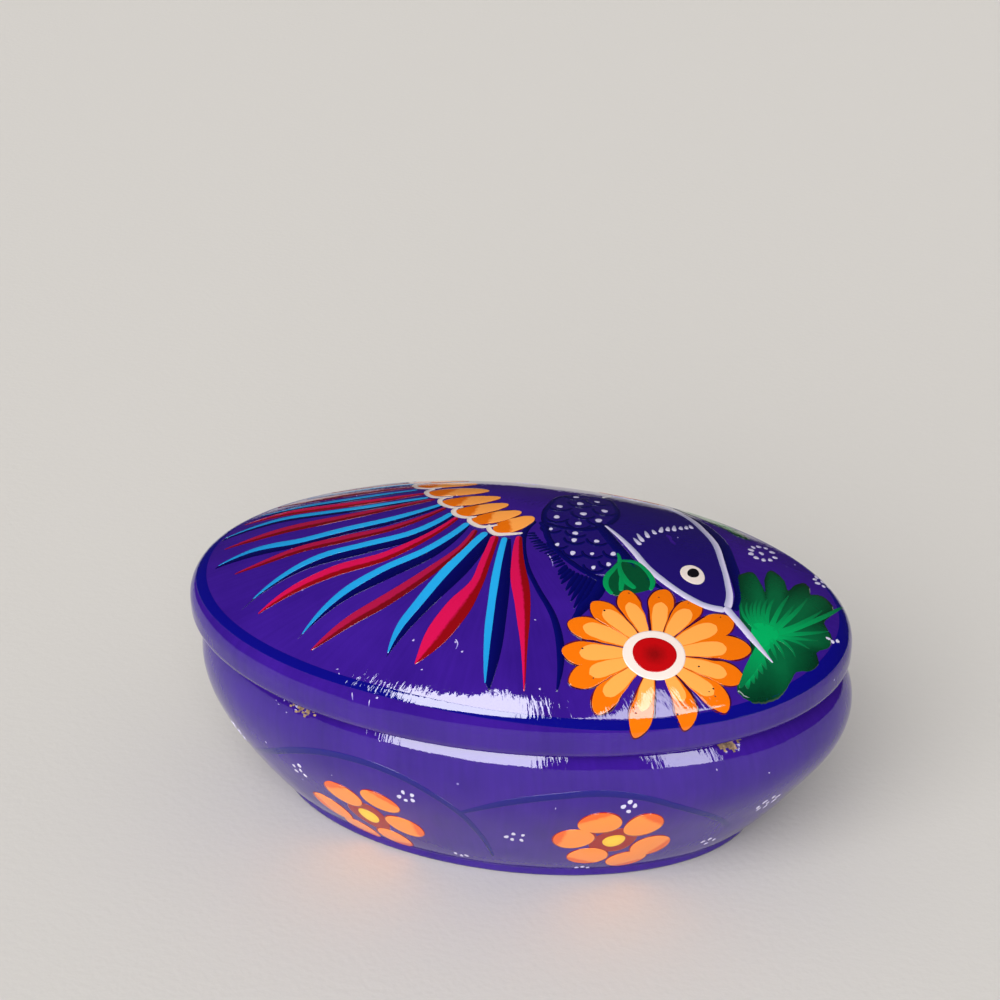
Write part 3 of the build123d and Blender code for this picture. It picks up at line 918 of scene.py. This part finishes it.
# Bird: scales, wing lines and combing in navy, with a white dot on each scale, given by place and size
SCALE_DOTS = [
    (7.5, 26.5, 1.1), (12.8, 25.2, 1.0), (9.8, 21.0, 1.3), (16.0, 19.0, 1.2), (6.2, 16.5, 1.1),
    (12.2, 14.5, 1.2), (16.2, 12.5, 1.3), (7.2, 10.0, 1.1), (12.5, 8.8, 1.1), (7.5, 3.8, 0.7),
    (13.0, 4.0, 1.0), (13.5, 1.0, 1.0), (18.2, 2.5, 0.9), (10.5, -2.0, 0.8), (14.5, -4.0, 1.0),
    (18.5, -2.8, 0.7), (22.8, -1.0, 1.0), (22.8, -5.2, 0.9), (20.0, -7.5, 0.8),
]
dots = []
for u, v, size in SCALE_DOTS:
    radii = 0.6 * size, 0.7 * size
    dots.append(dab(lid_skin, (u, v), radii, 0, *COAT, tone=0.7, around=14, uneven=0.08))
make_piece("scale_dots", dots, "lid", [THIN_WHITE])
navy = []
for u, v, size in SCALE_DOTS:
    wide, deep = (2.7, 3.4) if v > 6 else (2.3, 2.2)
    angle = np.radians([186, 225, 270, 315, 354])
    arc = np.stack([u + wide * np.cos(angle), v + 0.6 + deep * np.sin(angle)], -1)
    navy.append(stroke(lid_skin, arc, [0.5, 0.9, 1.1, 0.9, 0.5], *THIN_COAT, across=5))
LINES = [
    ([(5.8, 5.4), (4.3, 9.8), (3.8, 17.0), (4.8, 25.2), (8.2, 29.4), (13.0, 30.6), (17.0, 24.6),
      (19.4, 16.2), (18.6, 11.6)],
     [1.4, 1.2, 1.0, 0.9, 0.9, 1.0, 1.2, 1.4]),
    ([(4.6, 6.2), (10.0, 5.3), (14.2, 6.2), (18.0, 10.6)], [1.8, 1.4, 1.5, 1.6]),
    ([(4.6, 6.4), (5.9, 4.6), (8.0, -0.2), (12.0, -5.0), (16.0, -8.0), (19.8, -10.0), (24.0, -11.0)],
     [1.8, 1.6, 1.5, 1.5, 1.4, 1.4, 1.8]),
    ([(3.0, 6.4), (2.4, 1.0), (3.5, -4.5), (6.8, -12.2), (10.0, -17.0), (15.8, -24.5), (18.9, -31.0),
      (20.8, -41.0)],
     [1.9, 1.4, 1.2, 1.1, 1.2, 1.5, 1.6, 0.3]),
    ([(22.8, -9.8), (22.8, -15.2), (20.9, -20.4), (19.4, -26.0)], [2.2, 2.6, 2.0, 0.3]),
    ([(16.2, 11.4), (20.0, 5.8), (25.0, -0.4), (30.6, -5.8), (36.0, -8.8)], [2.0, 2.6, 2.8, 2.2, 0.6]),
    ([(51.5, -7.6), (51.6, -3.0), (49.7, 3.4), (46.6, 11.4), (43.2, 19.6), (38.6, 27.0), (31.0, 35.6)],
     [1.4, 2.2, 2.8, 3.0, 2.8, 2.4, 1.0]),
]
# Combed edges of the wing: the line of the roots, the line of the tips, how many strokes, widths and steps
COMBS = [
    ([(4.8, 1.0), (7.2, -1.8), (9.5, -3.4), (12.0, -5.9), (14.4, -8.6)],
     [(3.0, 0.4), (5.8, -4.3), (8.6, -6.4), (11.0, -8.6), (12.8, -11.2)], 15, [0.9, 0.8, 0.25], 10),
    ([(14.6, -9.0), (16.5, -10.0), (18.5, -10.6), (20.4, -10.8), (22.4, -11.0)],
     [(13.2, -12.2), (15.2, -15.4), (17.2, -18.0), (19.0, -20.6), (20.8, -23.6)], 9,
     [0.9, 1.25, 1.1, 0.3], 16),
]
navy += [stroke(lid_skin, line, widths, lift=0.04, steps=50) for line, widths in LINES]
for roots, tips, count, widths, steps in COMBS:
    shares = np.linspace(0, 1, count)
    for root, tip in zip(smooth_line(roots, shares), smooth_line(tips, shares)):
        line = [root, tip + hand.uniform(-0.3, 0.3, 2)]
        navy.append(stroke(lid_skin, line, widths, *UNDERCOAT, steps=steps, across=5))
make_piece("scales_and_wing_lines", navy, "lid", [NAVY])

# Heart-shaped leaf by the daisy
LEAF_EDGE = [
    (24.6, -2.4), (23.7, -6.6), (23.2, -10.6), (24.3, -13.2), (26.5, -14.6), (29.0, -13.2), (32.0, -11.0),
    (34.0, -8.4), (32.4, -4.6), (28.2, -2.2),
]
leaf = patch(lid_skin, (27.6, -7.6), closed_line(LEAF_EDGE), *FLAT_COAT, rings=7)
make_piece("leaf_fill", [leaf], "lid", [LEAF_GREEN])
LEAF_LINES = [
    ([(23.6, -0.4), (24.4, -2.0), (24.9, -3.8)], [0.5, 0.8, 1.0]),
    ([(25.0, -3.0), (24.2, -6.6), (23.5, -9.8), (24.2, -12.6), (26.0, -14.3)], [0.6, 1.0, 1.2, 1.2, 0.8]),
    ([(24.9, -3.0), (28.2, -2.2), (31.4, -4.4), (33.2, -7.6), (33.2, -10.0)], [0.6, 1.1, 1.2, 1.2, 0.8]),
    ([(24.9, -3.4), (25.6, -6.2), (27.6, -9.2), (30.2, -10.8)], [0.6, 1.1, 1.6, 1.0]),
    ([(26.0, -6.4), (26.9, -10.0), (27.4, -12.8)], [0.6, 1.2, 0.9]),
]
lines = [stroke(lid_skin, *line, *THICK_COAT, lambda t, q: 0.35 + 0.2 * t) for line in LEAF_LINES]
make_piece("leaf_lines", lines, "lid", [BRIGHT_GREEN])

# Foliage: one dark patch with a lobed edge, and bright strokes fanned out over it from a broad light middle
FOLIAGE_EDGE = [
    (53.8, -11.0), (51.6, -3.4), (49.9, 6.6), (52.2, 9.6), (54.8, 6.2), (56.4, 3.4), (55.2, 9.0),
    (56.0, 14.4), (58.8, 12.6), (60.9, 8.2), (62.0, 12.4), (63.8, 15.2), (65.2, 13.4), (65.8, 10.8),
    (67.6, 12.6), (69.6, 12.0), (71.6, 9.0), (71.4, 5.4), (70.6, 1.6), (73.0, -1.8), (73.2, -5.6),
    (71.0, -9.4), (72.0, -12.0), (70.8, -15.2), (68.0, -17.4), (67.4, -20.6), (66.6, -24.4), (63.6, -28.0),
    (60.2, -29.4), (57.2, -28.4), (56.8, -26.6), (58.0, -22.6), (57.6, -17.4),
]
CORE = np.array([60.0, -11.0])


def roughened(centre, outline, shrink, grow):
    """An outline whose every place is drawn in or out from the centre by a small random share."""
    return centre + (outline - centre) * (1 + hand.uniform(-shrink, grow, len(outline)))[:, None]


def foliage_tone(share, angle):
    """Light in the middle, dark at the edge, in seven faint rays."""
    return 1.45 - 1.1 * share + 0.2 * np.sin(7 * angle)


lobed = roughened(CORE, closed_line(FOLIAGE_EDGE, 260), 0.01, 0.006)
ground = patch(lid_skin, CORE, lobed, *FLAT_COAT, foliage_tone, rings=20)
make_piece("foliage_ground", [ground], "lid", [LEAF_GREEN])
# Each bright stroke: its tip, a place on its way out from the middle, and its width there
FOLIAGE_STROKES = [
    ((52.4, -4.2), (54.2, -8.6), 1.0), ((53.5, -3.2), (55.0, -8.0), 0.9), ((54.6, -2.4), (55.7, -7.6), 0.9),
    ((55.4, -0.6), (56.3, -7.0), 0.9), ((56.3, 0.4), (57.0, -6.6), 0.9), ((57.4, 1.0), (57.8, -6.2), 1.0),
    ((58.8, 2.8), (58.6, -5.8), 1.0), ((61.4, 5.8), (60.2, -5.0), 1.1), ((63.2, 3.2), (61.6, -5.2), 1.0),
    ((65.4, 8.4), (62.8, -3.6), 1.1), ((69.4, 6.4), (64.8, -4.2), 1.1), ((73.6, 13.8), (67.0, -1.8), 1.4),
    ((72.0, -0.6), (66.6, -5.8), 1.2), ((70.4, -5.4), (66.2, -7.8), 1.0), ((69.2, -9.2), (65.6, -9.0), 1.1),
    ((66.8, -13.4), (64.2, -11.0), 1.0), ((64.8, -15.2), (62.8, -12.8), 1.0),
    ((63.4, -16.6), (61.8, -14.2), 1.1),
]
# Short teeth on the side of the stroke that runs down from the middle
FOLIAGE_TEETH = [
    ((59.6, -15.4), (62.6, -18.2)), ((59.3, -17.2), (61.8, -20.2)), ((59.0, -19.0), (61.3, -21.8)),
    ((58.7, -20.8), (60.5, -23.6)), ((58.4, -22.4), (60.1, -25.0)), ((58.1, -24.2), (59.2, -26.8)),
]
strokes = []
for tip, way, width in FOLIAGE_STROKES:
    widths = [width * 1.6, width, width * 0.8, 0.2]
    rise = 0.07 + hand.uniform(0, 0.03)
    strokes.append(stroke(lid_skin, [CORE, way, tip], widths, lift=rise, bead=0.01, tone=pale_root))
down = [CORE, (58.9, -19.0), (57.4, -27.4)]
strokes += short_strokes([down], [4.4, 2.6, 2.2, 0.8], lift=0.09, bead=0.01, steps=36, across=7)
strokes += short_strokes(FOLIAGE_TEETH, [1.9, 1.4, 0.3], lift=0.08, bead=0.01, steps=14)
settings = {"lift": 0.1, "bead": 0.01, "tone": 0.95, "around": 36, "uneven": 0.1}
strokes.append(dab(lid_skin, (59.0, -11.0), (3.0, 3.6), **settings))
make_piece("foliage_strokes", strokes, "lid", [BRIGHT_GREEN])

# Leaf at the far edge, with its veins
FAR_LEAF = np.array([38.0, 37.0])
FAR_LEAF_EDGE = [
    (28.0, 40.6), (31.6, 37.2), (35.0, 35.6), (38.6, 33.6), (42.4, 31.8), (45.4, 29.0), (48.4, 29.8),
    (46.4, 33.6), (43.6, 37.4), (39.4, 40.2), (35.0, 42.6), (30.4, 43.4),
]
ragged_leaf = roughened(FAR_LEAF, closed_line(FAR_LEAF_EDGE, 120), 0.06, 0.03)
ground = patch(lid_skin, FAR_LEAF, ragged_leaf, *FLAT_COAT, lambda s, a: 0.9 - 0.6 * s, rings=9)
make_piece("far_leaf", [ground], "lid", [LEAF_GREEN])
FAR_LEAF_VEINS = [
    ((31.2, 41.6), (40.0, 36.6), (46.6, 30.6)), ((35.4, 39.6), (36.4, 37.2), (36.2, 35.6)),
    ((38.6, 37.8), (40.2, 35.4), (40.4, 33.4)), ((36.8, 39.0), (39.2, 39.4), (40.8, 39.0)),
    ((41.4, 35.8), (43.0, 33.4), (43.2, 31.8)), ((40.6, 36.4), (43.0, 36.6), (44.4, 35.8)),
]
veins = short_strokes(FAR_LEAF_VEINS, [1.1, 0.9, 0.25], lift=0.07, bead=0.01, steps=20, across=7)
make_piece("far_leaf_veins", veins, "lid", [BRIGHT_GREEN])


def dotted(skin, spots, size):
    """White dots at the given places, each drawn out a little on its own way."""
    made = []
    for spot in spots:
        radii = np.array(size) * hand.uniform(0.8, 1.15, 2)
        turn = hand.uniform(-30, 30)
        made.append(dab(skin, spot, radii, turn, *COAT, tone=0.8, around=12, uneven=0.08, rings=3))
    return made


def round_flower(centre, radii, dots):
    """The places of a little flower of dots: one in the middle and the others evenly round it."""
    angle = np.linspace(0, 2 * np.pi, dots, endpoint=False) + 0.3
    around = np.stack([centre[0] + radii[0] * np.cos(angle), centre[1] + radii[1] * np.sin(angle)], -1)
    return [centre, *around]


LID_DOTS = [
    (52.2, 22.4), (49.8, 22.0), (49.9, 24.6), (50.8, 26.9), (52.4, 28.2), (54.1, 26.7), (55.3, 23.4),
    (54.6, 20.3), (53.3, 18.6), (51.6, 18.2), (50.2, 19.4),
]
dots = dotted(lid_skin, LID_DOTS, (0.64, 0.84))
dots += dotted(lid_skin, round_flower((67.2, 21.2), (1.9, 2.7), 8), (0.52, 0.74))
dots += dotted(lid_skin, [(72.4, -3.0), (73.5, -3.3), (74.5, -2.2)], (0.5, 0.5))
dots += dotted(lid_skin, round_flower((-8.0, 40.4), (2.4, 2.2), 7), (0.6, 0.5))
make_piece("lid_dot_flowers", dots, "lid", [THIN_WHITE])

# Half an orange flower that opens from the band at the far edge, of which the front shows only the tips
FAR_FLOWER = np.array([17.0, 48.2])


def far_petal_tone(t, q):
    """Light at the root and along the middle, dark round the tip."""
    return 1.3 - t - 0.5 * q**2


petals, outlines = [], []
for angle in np.radians([196, 220, 245, 270, 295, 320, 344]):
    way = np.array([np.cos(angle) * 1.25, np.sin(angle)])
    line = [FAR_FLOWER + way * reach for reach in (0.6, 4.2, 7.0 + hand.uniform(-0.4, 0.3))]
    outlines.append(stroke(lid_skin, line, [0.8, 3.0, 4.3, 2.6], *UNDERCOAT, across=9))
    petals.append(stroke(lid_skin, line, [0.5, 2.3, 3.6, 1.8], *COAT, far_petal_tone, steps=26, across=9))
make_piece("far_flower_outlines", outlines, "lid", [MAROON])
make_piece("far_flower_petals", petals, "lid", [ORANGE])


def flecked(skin, spots, largest):
    """Tiny flakes in the varnish at the given places, from 0.1 mm to the largest half width."""
    made = []
    for spot in spots:
        radii = hand.uniform(0.1, largest, 2)
        made.append(dab(skin, spot, radii, 0, *FILM, tone=0.6, around=8, uneven=0.15, rings=2))
    return made


# Small flaws in the varnish: flecks and short scratches that show pale
FLECKS = [
    (-12.5, -34.8), (-3.2, -34.2), (-1.2, -36.2), (12.0, -25.8), (-16.2, -29.0), (-27.8, -42.2),
    (17.2, -41.2), (-8.8, -41.2), (-17.2, -47.8), (34.0, 14.4), (-44.0, 20.4), (60.0, 24.6), (2.4, 31.0),
]
SCRATCHES = [
    [(-3.4, -33.6), (-2.6, -34.8), (-2.8, -35.8)], [(9.4, -6.0), (10.8, -7.8), (11.6, -9.8)],
    [(-27.2, -43.0), (-27.0, -44.2)], [(-23.2, -47.0), (-23.0, -48.2)], [(-18.9, -48.2), (-19.1, -49.2)],
    [(40.4, 40.2), (44.0, 38.6)], [(-52.0, -6.0), (-49.6, -7.4)],
]
flecks = flecked(lid_skin, FLECKS, 0.3)
flecks += short_strokes(SCRATCHES, [0.16, 0.24, 0.12], *FILM, steps=10)
make_piece("lid_flecks", flecks, "lid", [SCUFF])


# Brushwork on the bowl


# The same set is painted on the front and on the back: two arches, a flower with six petals under each,
# groups of dots, and a round flower of dots towards each end
ARCHES = [
    [(-59.6, 26.8), (-54.8, 23.6), (-49.2, 20.2), (-41.2, 15.4), (-32.8, 12.2), (-25.2, 11.1),
     (-17.5, 11.4), (-11.0, 13.0), (-5.5, 15.9), (-0.2, 20.4), (4.0, 28.4), (6.8, 41.0)],
    [(0.0, 20.2), (8.8, 15.2), (20.0, 12.0), (31.0, 11.0), (38.5, 12.5), (46.5, 16.4), (56.0, 22.6),
     (65.8, 32.4)],
]
ARCH_WIDTHS = [1.0, 1.8, 1.7, 1.6, 1.5, 1.4, 0.8]
# Each flower: its middle and the middle's two radii, then the petals' middles, radii and turn
BOWL_FLOWERS = [
    ((-25.4, 33.0), (2.7, 3.1), [
        ((-29.9, 25.6), (4.9, 4.2), 24), ((-19.6, 23.6), (4.9, 3.5), 24), ((-38.0, 36.0), (5.4, 4.6), 34),
        ((-15.4, 33.2), (5.0, 4.2), 22), ((-33.0, 43.6), (5.0, 4.4), 22), ((-21.8, 42.6), (5.0, 4.4), 28),
    ]),
    ((35.7, 29.5), (2.6, 3.0), [
        ((30.6, 20.9), (4.7, 4.2), 14), ((40.5, 22.6), (4.2, 4.8), -14), ((26.1, 28.2), (4.8, 4.7), 12),
        ((45.6, 33.8), (4.6, 5.4), -8), ((31.2, 37.8), (5.1, 4.6), 12), ((42.0, 41.0), (5.2, 4.8), 2),
    ]),
]
DOT_GROUPS = [
    [(-42.7, 21.6), (-40.6, 20.3), (-42.9, 23.7), (-41.0, 22.4), (-40.3, 24.0)],
    [(-13.0, 17.0), (-14.1, 19.0), (-10.9, 17.3), (-12.6, 19.8), (-10.9, 19.2)],
    [(12.2, 27.0), (10.6, 28.8), (12.0, 29.9), (14.4, 27.3), (14.2, 29.9)],
    [(-4.0, 43.3), (-2.5, 44.3), (-0.9, 43.6)],
    [(35.8, 13.5), (34.5, 14.8), (36.9, 14.7), (35.8, 16.4)],
    [(63.0, 36.8), (61.4, 37.4), (65.2, 38.4), (63.6, 39.6)],
    [(30.0, 46.0), (31.5, 45.4), (33.2, 46.2)],
]
arches, petals, outlines, stars, middles, dots = [], [], [], [], [], []
for turned in (0.0, BELLY_LENGTH / 2):
    there = np.array([turned, 0.0])
    for line in ARCHES:
        arches.append(stroke(bowl_skin, np.array(line) + there, ARCH_WIDTHS, *THIN_COAT, steps=80))
    for centre, radii, places in BOWL_FLOWERS:
        centre = np.array(centre) + there
        star = np.array(radii) + 3.0
        stars.append(dab(bowl_skin, centre, star, 10, *UNDERCOAT, around=36, uneven=0.05, rings=5))
        middles.append(dab(bowl_skin, centre, radii, 10, *THICK_COAT, lambda s, a: 0.9 - 0.5 * s))
        for place, size, turn in places:
            place = np.array(place) + there
            way = place - centre
            outward = np.arctan2(way[1], way[0]) - np.radians(turn)

            def petal_tone(s, a, outward=outward):
                """Light towards the flower's middle and dark round the petal's outer edge."""
                return 0.82 - 0.62 * s * np.cos(a - outward)

            wider = np.array(size) + 0.25
            around = {"around": 36, "uneven": 0.02}
            outlines.append(dab(bowl_skin, place, wider, turn, *THIN_COAT, rings=5, **around))
            petals.append(dab(bowl_skin, place, size, turn, lift=0.07, tone=petal_tone, rings=6, **around))
    for group in DOT_GROUPS:
        dots += dotted(bowl_skin, np.array(group) + there, (0.5, 0.62))
    for end in (71.8, -66.6):
        flower = np.array(round_flower((end, 25.0), (2.5, 2.3), 7))
        dots += dotted(bowl_skin, flower + there, (0.45, 0.75))
make_piece("bowl_arches", arches, "bowl", [ARCH_BLUE])
make_piece("bowl_petal_outlines", outlines, "bowl", [RED])
make_piece("bowl_petals", petals, "bowl", [CORAL])
make_piece("bowl_flower_stars", stars, "bowl", [RED])
make_piece("bowl_flower_middles", middles, "bowl", [YELLOW])
make_piece("bowl_dots", dots, "bowl", [THIN_WHITE])
BOWL_FLECKS = [
    (-50.2, 17.8), (-46.5, 4.2), (-45.5, 4.8), (-42.8, 5.8), (-18.2, 4.5), (-44.4, 3.2), (54.6, 7.8),
    (20.4, 15.4), (66.4, 12.0), (-31.0, 18.6),
]
make_piece("bowl_flecks", flecked(bowl_skin, BOWL_FLECKS, 0.28), "bowl", [SCUFF])


# Stage, light and camera


def table_top():
    """Plain pale matt table top, with a fine pebbled grain 1.7 mm across."""
    material, tree = new_material("plain pale matt table top")
    lumps = raised(tree, 0.25, 0.0003, noise(tree, 1000 / 1.7, 2.0, object_place(tree)))
    settings = {"Base Color": linear("#D2CFCA"), "Roughness": 0.85, "Specular IOR Level": 0.1}
    shader = add(tree, "ShaderNodeBsdfPrincipled", settings, Normal=lumps)
    add(tree, "ShaderNodeOutputMaterial", Surface=shader.outputs[0])
    return material


def flat_piece(name, corners, material):
    """A flat piece between four corners, in metres."""
    mesh = bpy.data.meshes.new(name)
    mesh.from_pydata(corners, [], [(0, 1, 2, 3)])
    mesh.materials.append(material)
    obj = bpy.data.objects.new(name, mesh)
    bpy.context.scene.collection.objects.link(obj)
    return obj


floor_piece = flat_piece("table_top", [(-6, -6, 0), (6, -6, 0), (6, 6, 0), (-6, 6, 0)], table_top())

# The room lights from all round, and shows dimmer in the varnish than it lights
ROOM_LIGHT = 0.52
ROOM_SHEEN = 0.04
world = bpy.data.worlds.new("soft studio")
bpy.context.scene.world = world
world.use_nodes = True
room = world.node_tree.nodes["Background"]
room.inputs["Color"].default_value = linear("#F6F5F6")
rays = add(world.node_tree, "ShaderNodeLightPath")
settings = {"operation": "MULTIPLY_ADD", 1: ROOM_SHEEN - ROOM_LIGHT, 2: ROOM_LIGHT}
strength = add(world.node_tree, "ShaderNodeMath", settings, i0=rays.outputs["Is Glossy Ray"])
world.node_tree.links.new(strength.outputs[0], room.inputs["Strength"])

# Daylight from a wide opening in front, too soft to show in the varnish
daylight = bpy.data.lights.new("front_daylight", "SUN")
daylight.energy = 3.4
daylight.angle = np.radians(70)
daylight.color = (1.0, 0.985, 0.97)
daylight_piece = bpy.data.objects.new("front_daylight", daylight)
daylight_piece.rotation_euler = Vector((0.1, 0.86, -0.52)).to_track_quat("-Z", "Y").to_euler()
daylight_piece.visible_glossy = False
bpy.context.scene.collection.objects.link(daylight_piece)

BOX_MIDDLE = Vector((0, 0, 0.04))  # in metres


def window_pane(name, centre, size, power, overhead_turn=None, only_on=None):
    """A pane of light that shows in the varnish only: a rectangle that faces the box, or overhead, facing
    straight down and turned by so many degrees. It can be kept to the pieces of one collection."""
    lamp = bpy.data.lights.new(name, "AREA")
    lamp.shape = "RECTANGLE"
    lamp.size, lamp.size_y = size
    lamp.energy = power
    lamp.color = (0.93, 0.92, 1.0)
    obj = bpy.data.objects.new(name, lamp)
    obj.location = centre
    if overhead_turn is None:
        obj.rotation_euler = (BOX_MIDDLE - Vector(centre)).to_track_quat("-Z", "Y").to_euler()
    else:
        obj.rotation_euler = (0, 0, np.radians(overhead_turn))
    obj.visible_diffuse = False
    if only_on:
        obj.light_linking.receiver_collection = only_on
    bpy.context.scene.collection.objects.link(obj)


window_pane("window_pane_left", (-0.175, -0.295, 0.7), (0.32, 0.32), 5.8, overhead_turn=0)
window_pane("window_pane_right", (0.25, -0.19, 0.7), (0.29, 0.28), 2.8, overhead_turn=-22)

# The lower panes of the same windows reach the bowl's shoulder under the lid's edge
bowl_pieces = bpy.data.collections.new("bowl_pieces")
for piece in bpy.data.objects:
    if piece.name.startswith("bowl_"):
        bowl_pieces.objects.link(piece)
window_pane("low_pane_left", (-0.19, -0.86, 0.31), (0.60, 0.56), 15.0, only_on=bowl_pieces)
window_pane("low_pane_right", (0.608, -0.636, 0.31), (0.27, 0.56), 5.0, only_on=bowl_pieces)

# A dark card behind the box, which only the varnish sees: it stands for the dim far side of the room
card_material, card_tree = new_material("matt dark card")
shader = add(card_tree, "ShaderNodeBsdfDiffuse", {"Color": linear("#2A2624")})
add(card_tree, "ShaderNodeOutputMaterial", Surface=shader.outputs[0])
card_corners = [(-1.2, 0.24, 0), (1.2, 0.24, 0), (1.2, 0.3, 0.9), (-1.2, 0.3, 0.9)]
card = flat_piece("dark_card", card_corners, card_material)
card.visible_camera = False
card.visible_diffuse = False
card.visible_shadow = False

# Camera: fitted to the box's outline, its seam and the painted band; its place is in metres
CAMERA_PLACE = 0.131199, -0.450503, 0.346807
azimuth, elevation, roll = np.radians([16.57, 30.1, -1.24])
outward = np.array([np.sin(azimuth), -np.cos(azimuth), 0.0])
back = outward * np.cos(elevation) + np.array([0, 0, np.sin(elevation)])
right = np.array([np.cos(azimuth), np.sin(azimuth), 0.0])
up = np.cross(back, right)
turned_right = right * np.cos(roll) + up * np.sin(roll)
turned_up = up * np.cos(roll) - right * np.sin(roll)
matrix = np.eye(4)
matrix[:3, 0], matrix[:3, 1], matrix[:3, 2] = turned_right, turned_up, back
matrix[:3, 3] = CAMERA_PLACE
camera = bpy.data.objects.new("camera", bpy.data.cameras.new("camera"))
camera.data.lens = 90
camera.data.sensor_width = 36
camera.data.clip_start = 0.01
camera.matrix_world = Matrix(matrix.tolist())
bpy.context.scene.collection.objects.link(camera)
bpy.context.scene.camera = camera
bpy.context.scene.view_settings.view_transform = "Standard"
